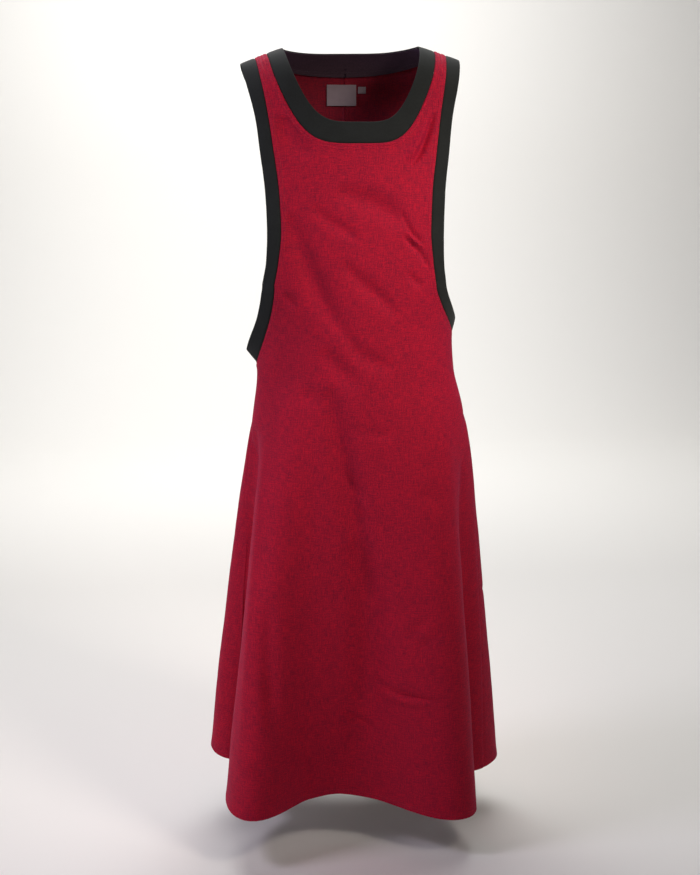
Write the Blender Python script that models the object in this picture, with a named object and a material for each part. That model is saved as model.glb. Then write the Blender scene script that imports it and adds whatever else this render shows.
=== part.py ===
"""Sideless surcoat, filled out as worn and held up at the shoulders.

Frame, in metres: +Z up, the front faces -Y and +X is the wearer's left. The origin is midway
between the two neck points, on the line of the shoulder seams, where the wearer carries it.

Every cloth piece is a wall through horizontal sections of one worn form. A place on the form is
an angle round the body (0 at the front, +90 at the wearer's left, 180 at the back) and a height
under the shoulder line (0 at the seam, negative below it).
"""
import math
from collections import namedtuple

import bmesh
import bpy
from mathutils import Vector

# ------------------------------------------------------------------ driving dimensions, metres
HEM_HEIGHT = -1.322            # level of the hem, under the shoulder line
HEM_TILT = 0.019               # the hem is this much lower at +X, and higher at -X
HEM_FRONT_DIP = 0.028          # and this much lower at the front, and higher at the back

PANEL_THICKNESS = 0.0020       # one layer of heavy cotton, filled out
BAND_THICKNESS = 0.0030        # bands are doubled cloth
FACING_THICKNESS = 0.0012
LABEL_THICKNESS = 0.0010
SEAM_GAP = 0.0003              # between the pieces that are sewn together

NECK_POINT_X = 0.117           # free neck edge at the shoulder seam
NECK_SEAM_X = 0.145            # outer edge of the neck band at the shoulder seam
ARMHOLE_SEAM_X = 0.1645        # inner edge of the armhole band at the shoulder seam
SHOULDER_TIP_X = 0.190         # free armhole edge at the shoulder seam
SHOULDER_FALL = 0.025          # from the neck point down to the shoulder tip
SHOULDER_ROUND = 0.080         # height over which the top of the shoulder rounds over
SHOULDER_BEND = 0.080          # how gently the shoulder line bends over the middle
SHOULDER_TILT = 0.020          # slope by which the shoulder at +X is carried higher
SLOPE_KEPT_TO = -0.030         # the slope of the shoulders fades out between these heights
SLOPE_GONE_AT = -0.150

FRONT_NECK_SHIFT = 0.007       # the front neck hangs this much to +X
FRONT_NECK_LEAN = {"right": 0.12, "left": 0.22}  # share by which its sides lean in

# Neck edges under the shoulder line: depth of the free edge and of the band's seam, and the powers
# that square the sides and the bottom (2 is an ellipse, and 1 for the drop is a parabola).
Neck = namedtuple("Neck", "free seam side_power drop_power")
NECK = {
    "front": Neck(0.129, 0.163, 4.2, 1.8),
    "back": Neck(0.030, 0.062, 2.0, 1.0),
}

ARMHOLE_TURN = -0.400          # height where the armhole starts to round under the arm
ARMHOLE_POWER = 1.5            # roundness of that lower corner
ARMHOLE_BACK_INSET = 0.012     # the back is cut this much narrower at each armhole
ARMHOLE_BAND_WIDTH = 0.025
ARMHOLE_BOTTOM = {"right": -0.546, "left": -0.497}
ARMHOLE_KICK = {"right": 0.017, "left": 0.004}   # the band stands off under the arm
KICK_SPAN = 0.42               # share of the band's length over which it does

FACING_WIDTH = 0.045           # strip inside the back neck
LABEL_WIDTH = 0.053
LABEL_HEIGHT = 0.037
LABEL_X = -0.006               # middle of the label
SIZE_TAG_WIDTH = 0.014
SIZE_TAG_HEIGHT = 0.012
SIZE_TAG_X = 0.031
LABEL_DROP = 0.0005            # from the lower edge of the facing to the label
SIZE_TAG_DROP = 0.0040
LABEL_CLEAR = 0.0012           # the label hangs this far off the inside of the back

SIDES = {"right": -1.0, "left": 1.0}             # the wearer's sides, and their sign in X

# Sections of the worn form: half widths at the wearer's right and left, depth in front of and
# behind the side seams, and the power that squares the front and back (1 is an ellipse).
Section = namedtuple("Section", "height right left front back power")
FORM = (
    Section(0.000, 0.215, 0.215, 0.088, 0.080, 0.60),
    Section(-0.060, 0.209, 0.209, 0.092, 0.090, 0.50),
    Section(-0.120, 0.206, 0.206, 0.098, 0.096, 0.50),
    Section(-0.200, 0.203, 0.203, 0.110, 0.100, 0.50),
    Section(-0.300, 0.198, 0.199, 0.121, 0.098, 0.52),
    Section(-0.400, 0.186, 0.193, 0.126, 0.094, 0.75),
    Section(-0.500, 0.170, 0.185, 0.127, 0.097, 1.20),
    Section(-0.560, 0.166, 0.189, 0.128, 0.104, 1.20),
    Section(-0.620, 0.173, 0.204, 0.130, 0.112, 1.10),
    Section(-0.700, 0.187, 0.221, 0.134, 0.124, 1.00),
    Section(-0.800, 0.204, 0.233, 0.138, 0.136, 0.95),
    Section(-1.000, 0.230, 0.251, 0.143, 0.155, 0.95),
    Section(-1.340, 0.258, 0.270, 0.150, 0.185, 1.00),
)

# Folds of the skirt: the angle of each, how far it spreads to either side in degrees, how far it
# stands out (or in, negative) at the hem, the height where it starts, and how far it lifts the hem.
Fold = namedtuple("Fold", "name angle spread_right spread_left depth start lift")
FOLDS = (
    Fold("front trough", -6, 30, 42, -0.050, -0.56, 0.012),
    Fold("front right lobe", -41, 28, 20, 0.086, -0.56, -0.002),
    Fold("front left lobe", 38, 32, 22, 0.064, -0.58, 0.000),
    Fold("right flank valley", -80, 20, 24, -0.044, -0.60, 0.000),
    Fold("left flank valley", 69, 24, 28, -0.074, -0.60, 0.000),
    Fold("right flank flare", -109, 22, 16, 0.023, -0.60, 0.004),
    Fold("left flank flare", 105, 16, 22, 0.034, -0.60, 0.000),
    Fold("back right lobe", -146, 22, 20, 0.050, -0.58, 0.000),
    Fold("back left lobe", 142, 20, 24, 0.055, -0.58, 0.000),
    Fold("back trough", 177, 24, 24, -0.030, -0.60, 0.000),
)
FOLD_ONSET = 1.15              # a fold grows a little faster towards the hem

# Seam of the armhole band on the panels, as a half width at each height of the straight part.
ArmholeEdge = namedtuple("ArmholeEdge", "height seam free")
ARMHOLE_EDGE = (
    ArmholeEdge(0.000, ARMHOLE_SEAM_X, SHOULDER_TIP_X),
    ArmholeEdge(-0.075, 0.1520, 0.1755),
    ArmholeEdge(-0.125, 0.1450, 0.1675),
    ArmholeEdge(-0.175, 0.1385, 0.1620),
    ArmholeEdge(-0.250, 0.1300, 0.1540),
    ArmholeEdge(-0.310, 0.1280, 0.1520),
    ArmholeEdge(-0.360, 0.1330, 0.1540),
    ArmholeEdge(ARMHOLE_TURN, 0.1400, 0.1600),
)

# ------------------------------------------------------------------ mesh density
STRAIGHT_ROWS = 16             # rows along the straight part of the armhole
TURN_ROWS = 8                  # rows round its lower corner
NECK_ROWS = 12                 # rows along one half of the neck
ROW_CROWDING = 1.5             # rows lie closer together under the neck
MERGE_ROWS = 3                 # rows under the armhole before the rows lie level
SKIRT_ROWS = 13
LEVEL_HEIGHT = -0.660          # from here down the rows are level
FRONT_COLUMNS = 15             # in each half of the front
BACK_COLUMNS = 13              # in each half of the back
BAND_COLUMNS = 2
TAB_ROWS = 3                   # in the label and the size tag
TAB_COLUMNS = 4
STEP = 0.0005                  # finite difference for normals, as an angle and a height


# ------------------------------------------------------------------ the worn form
def read(table, column, height):
    """A column of a table at any height: a cubic through the rows that never overshoots them."""
    heights = [row.height for row in table]
    values = [getattr(row, column) for row in table]
    height = min(max(height, heights[-1]), heights[0])
    last = len(table) - 2
    cell = next((i for i in range(last + 1) if height >= heights[i + 1]), last)

    def rise(i):
        return (values[i + 1] - values[i]) / (heights[i + 1] - heights[i])

    def slope(i):
        if i in (0, last + 1):
            return rise(min(i, last))
        before, after = rise(i - 1), rise(i)
        return 0.0 if before * after <= 0 else 2 * before * after / (before + after)

    width = heights[cell + 1] - heights[cell]
    t = (height - heights[cell]) / width
    return (values[cell] * (1 + 2 * t) * (1 - t) ** 2 + values[cell + 1] * t * t * (3 - 2 * t)
            + width * t * (1 - t) * (slope(cell) * (1 - t) - slope(cell + 1) * t))


def smooth(value, start, end):
    t = min(max((value - start) / (end - start), 0.0), 1.0)
    return t * t * (3 - 2 * t)


def shoulder_fall(x):
    """How far the shoulder line at x lies under the neck points (above them in the middle)."""
    bend = math.hypot(x, SHOULDER_BEND) - math.hypot(NECK_POINT_X, SHOULDER_BEND)
    whole = math.hypot(SHOULDER_TIP_X, SHOULDER_BEND) - math.hypot(NECK_POINT_X, SHOULDER_BEND)
    return SHOULDER_FALL * bend / whole


def shoulder_round(height):
    """Share of the depth that the form has reached at a height under the shoulder line."""
    left_over = max(1 + height / SHOULDER_ROUND, 0.0)
    return math.sqrt(max(1 - left_over ** 2, 0.0))


def fold_share(fold, degrees):
    """Share of a fold that an angle has: 1 on its ridge or in its valley, 0 past its spread."""
    away = (degrees - fold.angle + 180) % 360 - 180
    spread = fold.spread_left if away > 0 else fold.spread_right
    return 0.5 * (1 + math.cos(math.pi * away / spread)) if abs(away) < spread else 0.0


def fold_offset(degrees, height):
    """How far the folds of the skirt move the form outwards at an angle and a height."""
    total = 0.0
    for fold in FOLDS:
        grown = max(fold.start - height, 0.0) / (fold.start - HEM_HEIGHT)
        total += fold.depth * grown ** FOLD_ONSET * fold_share(fold, degrees)
    return total


def form_point(angle, height):
    """Point of the cloth's outer face at an angle (radians) and a height."""
    sine, cosine = math.sin(angle), math.cos(angle)
    half_width = read(FORM, "left" if sine > 0 else "right", height)
    depth = read(FORM, "front" if cosine > 0 else "back", height) * shoulder_round(height)
    power = read(FORM, "power", height)
    x = half_width * sine
    y = -math.copysign(depth * abs(cosine) ** power, cosine)
    outward = Vector((depth * sine, -half_width * cosine))
    if outward.length > 0:
        x_out, y_out = outward.normalized() * fold_offset(math.degrees(angle), height)
        x, y = x + x_out, y + y_out
    slope_kept = smooth(height, SLOPE_GONE_AT, SLOPE_KEPT_TO)
    return Vector((x, y, height + (SHOULDER_TILT * x - shoulder_fall(x)) * slope_kept))


def form_normal(angle, height):
    """Outward normal of the form, the same on both sides of every seam."""
    around = form_point(angle + STEP, height) - form_point(angle - STEP, height)
    if height > -STEP:
        return Vector((-around.z, 0.0, around.x)).normalized() * math.copysign(1, around.x)
    down = form_point(angle, height - STEP) - form_point(angle, height + STEP)
    return around.cross(-down).normalized()


def angle_at(x, height):
    """Angle on the front of the form where its half width is x."""
    half_width = read(FORM, "left" if x > 0 else "right", height)
    return math.asin(min(max(x / half_width, -1.0), 1.0))


def hem_height(angle):
    lift = sum(fold.lift * fold_share(fold, math.degrees(angle)) for fold in FOLDS)
    return HEM_HEIGHT - HEM_TILT * math.sin(angle) - HEM_FRONT_DIP * math.cos(angle) + lift


def height_at(angle, z):
    """Height on the form, at an angle, of the point that lies at z."""
    low, high = HEM_HEIGHT, 0.0
    while high - low > STEP / 100:
        middle = (low + high) / 2
        low, high = (middle, high) if form_point(angle, middle).z < z else (low, middle)
    return low


# ------------------------------------------------------------------ edges of the pieces
Place = namedtuple("Place", "angle height stand_off", defaults=(0.0,))


def between(a, b, share):
    """The place that lies at a share of the way from one place to another."""
    return Place(*(m + (n - m) * share for m, n in zip(a, b)))


def to_back(place):
    """The same place on the other side of the shoulder line; the middle of the back is +180."""
    if place.angle == 0:
        return place._replace(angle=math.pi)
    return place._replace(angle=math.copysign(math.pi, place.angle) - place.angle)


def neck_edge(side, part, t, front=True):
    """A neck edge from the shoulder (t 0) to the middle (t 1); part is "free" or "seam"."""
    neck = NECK["front" if front else "back"]
    corner = math.radians(90) * t ** 1.3
    dropped = math.sin(corner) ** (2 / neck.drop_power)
    half_width = NECK_POINT_X if part == "free" else NECK_SEAM_X
    x = SIDES[side] * half_width * max(math.cos(corner), 0.0) ** (2 / neck.side_power)
    if front:
        x = x * (1 - FRONT_NECK_LEAN[side] * dropped) + FRONT_NECK_SHIFT * math.sin(corner)
    height = -getattr(neck, part) * dropped
    return Place(angle_at(x, height) if front or t < 1 else 0.0, height)


def armhole_edge(side, part, t, front=True):
    """An armhole edge from the shoulder (t 0) to under the arm (t 1), as if on the front."""
    sign = SIDES[side]

    def half_width(height):
        inset = 0.0 if front else ARMHOLE_BACK_INSET * smooth(height, 0.0, -0.080)
        return read(ARMHOLE_EDGE, part, height) - inset

    turn_at = STRAIGHT_ROWS / (STRAIGHT_ROWS + TURN_ROWS)
    if t <= turn_at:
        height = ARMHOLE_TURN * (t / turn_at) ** 1.5
        return Place(angle_at(sign * half_width(height), height), height)
    corner = math.radians(90) * (t - turn_at) / (1 - turn_at)
    turned = 1 - max(math.cos(corner), 0.0) ** (2 / ARMHOLE_POWER)
    bottom = ARMHOLE_BOTTOM[side] + (ARMHOLE_BAND_WIDTH if part == "free" else 0.0)
    height = ARMHOLE_TURN + (bottom - ARMHOLE_TURN) * math.sin(corner) ** (2 / ARMHOLE_POWER)
    start = abs(angle_at(sign * half_width(ARMHOLE_TURN), ARMHOLE_TURN))
    return Place(sign * (start + (math.radians(90) - start) * turned), height)


def half_panel(side, columns, front=True):
    """Grid of places over one half of the front or back, from its outer edge to the middle."""
    armhole_rows = STRAIGHT_ROWS + TURN_ROWS
    outer = [armhole_edge(side, "seam", i / armhole_rows, front)
             for i in range(armhole_rows + 1)]
    level = outer[-1]._replace(height=LEVEL_HEIGHT)
    outer += [between(outer[armhole_rows], level, i / MERGE_ROWS) for i in range(1, MERGE_ROWS + 1)]
    middle = [neck_edge(side, "seam", i / NECK_ROWS, front) for i in range(NECK_ROWS + 1)]
    rows_below = len(outer) - len(middle)
    level = middle[-1]._replace(height=LEVEL_HEIGHT)
    middle += [between(middle[NECK_ROWS], level, (i / rows_below) ** ROW_CROWDING)
               for i in range(1, rows_below + 1)]
    grid = [[between(a, b, j / columns) for j in range(columns + 1)] for a, b in zip(outer, middle)]
    if not front:
        grid = [[to_back(place) for place in row] for row in grid]
    hem = [place._replace(height=hem_height(place.angle)) for place in grid[-1]]
    top = grid[-1]
    grid += [[between(a, b, i / SKIRT_ROWS) for a, b in zip(top, hem)]
             for i in range(1, SKIRT_ROWS + 1)]
    return grid


def strip(seam, free, rows, width):
    """Grid across a band, from just clear of its seam to its free edge."""
    clear = SEAM_GAP / width
    return [[between(a, b, clear + (1 - clear) * j / BAND_COLUMNS) for j in range(BAND_COLUMNS + 1)]
            for a, b in ((seam(i / rows), free(i / rows)) for i in range(rows + 1))]


# ------------------------------------------------------------------ walls
def cloth_wall(name, grids, thickness, material, front=None, side=None, under=0.0):
    """Closed wall over one or more grids of places that share their common edges.

    Its outer face lies `under` the form. The piece is moved half a seam gap off the side seams
    when it is a front or a back piece, and off the middle of the back when it has a side."""
    shift = Vector((0.0, 0.0, 0.0))
    if side:
        shift.x = SIDES[side] * SEAM_GAP / 2
    if front is not None:
        shift.y = -SEAM_GAP / 2 if front else SEAM_GAP / 2
    order, quads = {}, []
    for grid in grids:
        keys = [[order.setdefault(Place(*(round(n, 7) for n in place)), len(order))
                 for place in row] for row in grid]
        for upper, lower in zip(keys, keys[1:]):
            quads += zip(upper, lower, lower[1:], upper[1:])
    mesh = bmesh.new()
    normals = [form_normal(place.angle, place.height) for place in order]
    faces_out = [form_point(place.angle, place.height) + shift + normal * (place.stand_off - under)
                 for place, normal in zip(order, normals)]
    outer = [mesh.verts.new(point) for point in faces_out]
    inner = [mesh.verts.new(point - normal * thickness)
             for point, normal in zip(faces_out, normals)]
    for quad in quads:
        mesh.faces.new([outer[k] for k in quad])
    for edge in [edge for edge in mesh.edges if edge.is_boundary]:
        a, b = (outer.index(vert) for vert in edge.verts)
        mesh.faces.new((outer[a], outer[b], inner[b], inner[a]))
    for quad in quads:
        mesh.faces.new([inner[k] for k in reversed(quad)])
    bmesh.ops.recalc_face_normals(mesh, faces=mesh.faces)
    data = bpy.data.meshes.new(name)
    mesh.to_mesh(data)
    mesh.free()
    data.materials.append(material)
    data.shade_smooth()
    data.set_sharp_from_angle(angle=math.radians(50))
    garment.objects.link(bpy.data.objects.new(name, data))


def cloth(name, colour, roughness):
    """Principled material of a cloth."""
    material = bpy.data.materials.new(name)
    material.use_nodes = True
    shader = material.node_tree.nodes["Principled BSDF"]
    shader.inputs["Base Color"].default_value = (*colour, 1.0)
    shader.inputs["Roughness"].default_value = roughness
    shader.inputs["Metallic"].default_value = 0.0
    return material


# ------------------------------------------------------------------ the pieces
def make_panels(material):
    """The front in one piece, and the back in two with a seam down the middle."""
    cloth_wall("front_panel", [half_panel(side, FRONT_COLUMNS) for side in SIDES],
               PANEL_THICKNESS, material, front=True)
    for side in SIDES:
        cloth_wall("back_panel_" + side, [half_panel(side, BACK_COLUMNS, front=False)],
                   PANEL_THICKNESS, material, front=False, side=side)


def neck_strip(side, front):
    grid = strip(lambda t: neck_edge(side, "seam", t, front),
                 lambda t: neck_edge(side, "free", t, front),
                 NECK_ROWS, NECK_SEAM_X - NECK_POINT_X)
    return grid if front else [[to_back(place) for place in row] for row in grid]


def make_neck_bands(material):
    """Bands round the neck, seamed at the shoulders."""
    for name, front in (("neck_band_front", True), ("neck_band_back", False)):
        cloth_wall(name, [neck_strip(side, front) for side in SIDES],
                   BAND_THICKNESS, material, front=front)


def armhole_strip(side, front):
    """Grid of one half of an armhole band, which stands off the form under the arm."""
    rows = STRAIGHT_ROWS + TURN_ROWS
    grid = strip(lambda t: armhole_edge(side, "seam", t, front),
                 lambda t: armhole_edge(side, "free", t, front), rows, ARMHOLE_BAND_WIDTH)
    for i, row in enumerate(grid):
        kick = ARMHOLE_KICK[side] * smooth(i / rows, 1 - KICK_SPAN, 1)
        for j, place in enumerate(row):
            row[j] = place._replace(stand_off=kick * j / BAND_COLUMNS)
    return grid if front else [[to_back(place) for place in row] for row in grid]


def make_armhole_bands(material):
    """Bands round the deep armholes, seamed at the shoulder and under the arm."""
    for side in SIDES:
        for name, front in (("armhole_band_front_", True), ("armhole_band_back_", False)):
            cloth_wall(name + side, [armhole_strip(side, front)], BAND_THICKNESS, material,
                       front=front)


def facing_row(side, t):
    """Places across the facing at one point of the back neck, from the free edge downwards.

    They pass through the seam of the band, so that the facing follows the band's own wall."""
    free, seam = (neck_edge(side, part, t, front=False) for part in ("free", "seam"))
    middle = between(free, seam, 0.5)
    reach = form_point(*seam[:2]) - form_point(*free[:2])
    return [to_back(place) for place in
            (free, middle, seam, between(free, seam, FACING_WIDTH / reach.length))]


def make_back_neck_facing(material):
    """Strip of band cloth inside the back neck."""
    grids = [[facing_row(side, i / NECK_ROWS) for i in range(NECK_ROWS + 1)] for side in SIDES]
    cloth_wall("back_neck_facing", grids, FACING_THICKNESS, material, front=False,
               under=BAND_THICKNESS + SEAM_GAP)


def make_tab(name, x, drop, width, height, material):
    """Small rectangle of woven tape, sewn to the inside of the back under the facing."""
    angle, level = facing_row("left", 1)[-1][:2]
    top = form_point(angle, level).z - drop
    grid = []
    for i in range(TAB_ROWS + 1):
        z = top - height * i / TAB_ROWS
        level = height_at(angle, z)
        grid.append([to_back(Place(angle_at(x + width * (j / TAB_COLUMNS - 0.5), level), level))
                     for j in range(TAB_COLUMNS + 1)])
    cloth_wall(name, [grid], LABEL_THICKNESS, material, front=False,
               under=PANEL_THICKNESS + LABEL_CLEAR)


for old in list(bpy.data.objects):
    bpy.data.objects.remove(old, do_unlink=True)
garment = bpy.data.collections.new("medieval_surcoat")
bpy.context.scene.collection.children.link(garment)

crimson = cloth("crimson_cotton", (0.330, 0.012, 0.030), 0.80)
black = cloth("black_cotton", (0.012, 0.013, 0.013), 0.85)
tape = cloth("pale_woven_tape", (0.550, 0.480, 0.500), 0.60)

make_panels(crimson)
make_neck_bands(black)
make_armhole_bands(black)
make_back_neck_facing(black)
make_tab("label", LABEL_X, LABEL_DROP, LABEL_WIDTH, LABEL_HEIGHT, tape)
make_tab("size_tag", SIZE_TAG_X, SIZE_TAG_DROP, SIZE_TAG_WIDTH, SIZE_TAG_HEIGHT, tape)
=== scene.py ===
"""Looks of a sideless surcoat of heavy crimson cotton with black bands, sewn over its solids."""
import math
from collections import namedtuple

import bpy
import numpy as np
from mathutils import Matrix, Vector, kdtree, noise
from mathutils.bvhtree import BVHTree


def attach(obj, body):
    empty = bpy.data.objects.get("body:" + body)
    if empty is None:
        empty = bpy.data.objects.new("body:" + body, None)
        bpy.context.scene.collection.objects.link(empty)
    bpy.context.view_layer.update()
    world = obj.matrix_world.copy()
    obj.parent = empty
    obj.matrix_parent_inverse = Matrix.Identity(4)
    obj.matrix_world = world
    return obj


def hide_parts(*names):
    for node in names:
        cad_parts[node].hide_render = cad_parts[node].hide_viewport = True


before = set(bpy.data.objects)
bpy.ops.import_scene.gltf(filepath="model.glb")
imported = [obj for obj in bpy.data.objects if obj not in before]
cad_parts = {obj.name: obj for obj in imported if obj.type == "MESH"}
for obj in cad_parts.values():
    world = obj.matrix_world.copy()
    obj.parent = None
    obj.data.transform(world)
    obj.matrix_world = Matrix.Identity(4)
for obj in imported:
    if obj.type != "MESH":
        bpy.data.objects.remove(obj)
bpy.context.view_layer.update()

# ====================================================================== front and backs
# Plain-woven cotton canvas, about 330 g/m2, crimson with a violet cast. The front is cut in one
# and the back in two with a seam down the middle; both flare from the waist, so that the skirt
# hangs in broad soft folds. Each is a thin shell on the worn form that its solid has too.
HEM_HEIGHT = -1.322            # level of the hem under the shoulder line, in metres
HEM_TILT = 0.019               # it hangs lower by this at the wearer's left, higher at the right,
HEM_FRONT_DIP = 0.028          # and lower by this in front, higher behind
NECK_POINT_X = 0.117           # free neck edge at the shoulder seam
NECK_SEAM_X = 0.145            # outer edge of the neck band there
SHOULDER_TIP_X = 0.190         # free armhole edge there
SHOULDER_FALL = 0.025          # from the neck edge to the tip
SHOULDER_BEND = 0.080          # half width over which the shoulder line bends
SHOULDER_ROUND = 0.080         # height over which the form rounds over to that line
SHOULDER_TILT = 0.020          # the left shoulder is higher by this share of the width
SLOPE_KEPT_TO = -0.030         # rows slope like the shoulders down to here,
SLOPE_GONE_AT = -0.150         # and are level from here
SIDES = {"right": -1.0, "left": 1.0}      # the wearer's sides, and their sign in X

Section = namedtuple("Section", "height right left front back power")
FORM = (
    Section(0.000, 0.215, 0.215, 0.088, 0.080, 0.60),
    Section(-0.060, 0.209, 0.209, 0.092, 0.090, 0.50),
    Section(-0.120, 0.206, 0.206, 0.098, 0.096, 0.50),
    Section(-0.200, 0.203, 0.203, 0.110, 0.100, 0.50),
    Section(-0.300, 0.198, 0.199, 0.121, 0.098, 0.52),
    Section(-0.400, 0.186, 0.193, 0.126, 0.094, 0.75),
    Section(-0.500, 0.170, 0.185, 0.127, 0.097, 1.20),
    Section(-0.560, 0.166, 0.189, 0.128, 0.104, 1.20),
    Section(-0.620, 0.173, 0.204, 0.130, 0.112, 1.10),
    Section(-0.700, 0.187, 0.221, 0.134, 0.124, 1.00),
    Section(-0.800, 0.204, 0.233, 0.138, 0.136, 0.95),
    Section(-1.000, 0.230, 0.251, 0.143, 0.155, 0.95),
    Section(-1.340, 0.258, 0.270, 0.150, 0.185, 1.00),
)
Fold = namedtuple("Fold", "name angle spread_right spread_left depth start lift")
FOLDS = (
    Fold("front trough", -6, 30, 42, -0.050, -0.56, 0.012),
    Fold("front right lobe", -41, 28, 20, 0.086, -0.56, -0.002),
    Fold("front left lobe", 38, 32, 22, 0.064, -0.58, 0.000),
    Fold("right flank valley", -80, 20, 24, -0.044, -0.60, 0.000),
    Fold("left flank valley", 69, 24, 28, -0.074, -0.60, 0.000),
    Fold("right flank flare", -109, 22, 16, 0.023, -0.60, 0.004),
    Fold("left flank flare", 105, 16, 22, 0.034, -0.60, 0.000),
    Fold("back right lobe", -146, 22, 20, 0.050, -0.58, 0.000),
    Fold("back left lobe", 142, 20, 24, 0.055, -0.58, 0.000),
    Fold("back trough", 177, 24, 24, -0.030, -0.60, 0.000),
)
FOLD_ONSET = 1.15              # power by which a fold grows from its start to the hem
STEP = 0.0005                  # finite difference for normals, as an angle and a height


def read(table, column, height):
    """A column of a table at many heights: a cubic through the rows that never overshoots them."""
    rows = np.array([row.height for row in table])[::-1]
    values = np.array([getattr(row, column) for row in table])[::-1]
    rise = np.diff(values) / np.diff(rows)
    kept = rise[:-1] * rise[1:] > 0
    total = np.where(kept, rise[:-1] + rise[1:], 1.0)
    inner = np.where(kept, 2 * rise[:-1] * rise[1:] / total, 0.0)
    slope = np.concatenate((rise[:1], inner, rise[-1:]))
    height = np.clip(height, rows[0], rows[-1])
    cell = np.clip(np.searchsorted(rows, height, side="right") - 1, 0, len(rows) - 2)
    width = rows[cell + 1] - rows[cell]
    t = (height - rows[cell]) / width
    return (values[cell] * (1 + 2 * t) * (1 - t) ** 2 + values[cell + 1] * t * t * (3 - 2 * t)
            + width * t * (1 - t) * (slope[cell] * (1 - t) - slope[cell + 1] * t))


def smooth(value, start, end):
    t = np.clip((value - start) / (end - start), 0.0, 1.0)
    return t * t * (3 - 2 * t)


def bump(value, width):
    """1 at 0, falling off softly to either side within about the width."""
    return np.exp(-(value / width) ** 2)


def shoulder_fall(x):
    bend = np.hypot(x, SHOULDER_BEND) - math.hypot(NECK_POINT_X, SHOULDER_BEND)
    whole = math.hypot(SHOULDER_TIP_X, SHOULDER_BEND) - math.hypot(NECK_POINT_X, SHOULDER_BEND)
    return SHOULDER_FALL * bend / whole


def fold_share(fold, degrees):
    away = (degrees - fold.angle + 180) % 360 - 180
    spread = np.where(away > 0, fold.spread_left, fold.spread_right)
    return np.where(np.abs(away) < spread, 0.5 * (1 + np.cos(math.pi * away / spread)), 0.0)


def form_points(angle, height):
    """Points of the worn form at angles round the body (0 in front, radians) and heights."""
    sine, cosine = np.sin(angle), np.cos(angle)
    half_width = np.where(sine > 0, read(FORM, "left", height), read(FORM, "right", height))
    rounded = np.sqrt(1 - np.clip(1 + height / SHOULDER_ROUND, 0.0, 1.0) ** 2)
    depth = rounded * np.where(cosine > 0, read(FORM, "front", height), read(FORM, "back", height))
    x = half_width * sine
    y = -np.copysign(depth * np.abs(cosine) ** read(FORM, "power", height), cosine)
    length = np.maximum(np.hypot(depth * sine, half_width * cosine), 1e-12)
    out = 0.0
    for fold in FOLDS:
        grown = np.maximum(fold.start - height, 0.0) / (fold.start - HEM_HEIGHT)
        out = out + fold.depth * grown ** FOLD_ONSET * fold_share(fold, np.degrees(angle))
    x = x + depth * sine / length * out
    y = y - half_width * cosine / length * out
    kept = smooth(height, SLOPE_GONE_AT, SLOPE_KEPT_TO)
    return np.stack((x, y, height + (SHOULDER_TILT * x - shoulder_fall(x)) * kept), axis=-1)


def form_normals(angle, height):
    around = form_points(angle + STEP, height) - form_points(angle - STEP, height)
    down = form_points(angle, height - STEP) - form_points(angle, height + STEP)
    normal = -np.cross(around, down)
    ridge = np.stack((-around[..., 2], np.zeros_like(angle), around[..., 0]), axis=-1)
    normal = np.where((height > -STEP)[..., None], ridge * np.sign(around[..., :1]), normal)
    return normal / np.linalg.norm(normal, axis=-1, keepdims=True)


def angle_at(x, height):
    """Angle on the front of the form where its half width is x."""
    half_width = np.where(x > 0, read(FORM, "left", height), read(FORM, "right", height))
    return np.arcsin(np.clip(x / half_width, -1.0, 1.0))


def hem_height(angle):
    lift = sum(fold.lift * fold_share(fold, np.degrees(angle)) for fold in FOLDS)
    return HEM_HEIGHT - HEM_TILT * np.sin(angle) - HEM_FRONT_DIP * np.cos(angle) + lift


# Edges of the pieces, as for the solids: arrays of (angle, height) from the shoulder seam (t 0)
# to the middle of the neck or under the arm (t 1); part is "free" or "seam".
FRONT_NECK_SHIFT = 0.007       # the front neck is off the middle by this, to the wearer's left,
FRONT_NECK_LEAN = {"right": 0.12, "left": 0.22}     # and narrows by these shares on its way down
Neck = namedtuple("Neck", "free seam side_power drop_power")
NECK = {True: Neck(0.129, 0.163, 4.2, 1.8),         # the front's
        False: Neck(0.030, 0.062, 2.0, 1.0)}        # and the back's
NECK_CROWDING = 1.3            # places lie closer together near the shoulder
ARMHOLE_TURN = -0.400          # level where the armhole starts to turn under the arm
ARMHOLE_POWER = 1.5            # how full that turn is
ARMHOLE_CROWDING = 1.5         # places lie closer together near the shoulder
ARMHOLE_BACK_INSET = 0.012     # the back is cut in by this much more,
ARMHOLE_INSET_AT = -0.080      # from this level down
ARMHOLE_BAND_WIDTH = 0.025
ARMHOLE_BOTTOM = {"right": -0.546, "left": -0.497}
TURN_AT = 2 / 3                # t where the armhole starts to turn under the arm
ArmholeEdge = namedtuple("ArmholeEdge", "height seam free")
ARMHOLE_EDGE = (
    ArmholeEdge(0.000, 0.1645, SHOULDER_TIP_X),
    ArmholeEdge(-0.075, 0.1520, 0.1755),
    ArmholeEdge(-0.125, 0.1450, 0.1675),
    ArmholeEdge(-0.175, 0.1385, 0.1620),
    ArmholeEdge(-0.250, 0.1300, 0.1540),
    ArmholeEdge(-0.310, 0.1280, 0.1520),
    ArmholeEdge(-0.360, 0.1330, 0.1540),
    ArmholeEdge(ARMHOLE_TURN, 0.1400, 0.1600),
)


def neck_edge(side, part, t, front):
    neck = NECK[front]
    corner = math.radians(90) * t ** NECK_CROWDING
    dropped = np.sin(corner) ** (2 / neck.drop_power)
    half_width = NECK_POINT_X if part == "free" else NECK_SEAM_X
    x = SIDES[side] * half_width * np.maximum(np.cos(corner), 0.0) ** (2 / neck.side_power)
    if front:
        x = x * (1 - FRONT_NECK_LEAN[side] * dropped) + FRONT_NECK_SHIFT * np.sin(corner)
    height = -getattr(neck, part) * dropped
    return np.stack((angle_at(x, height) * (1.0 if front else t < 1), height), axis=-1)


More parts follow.
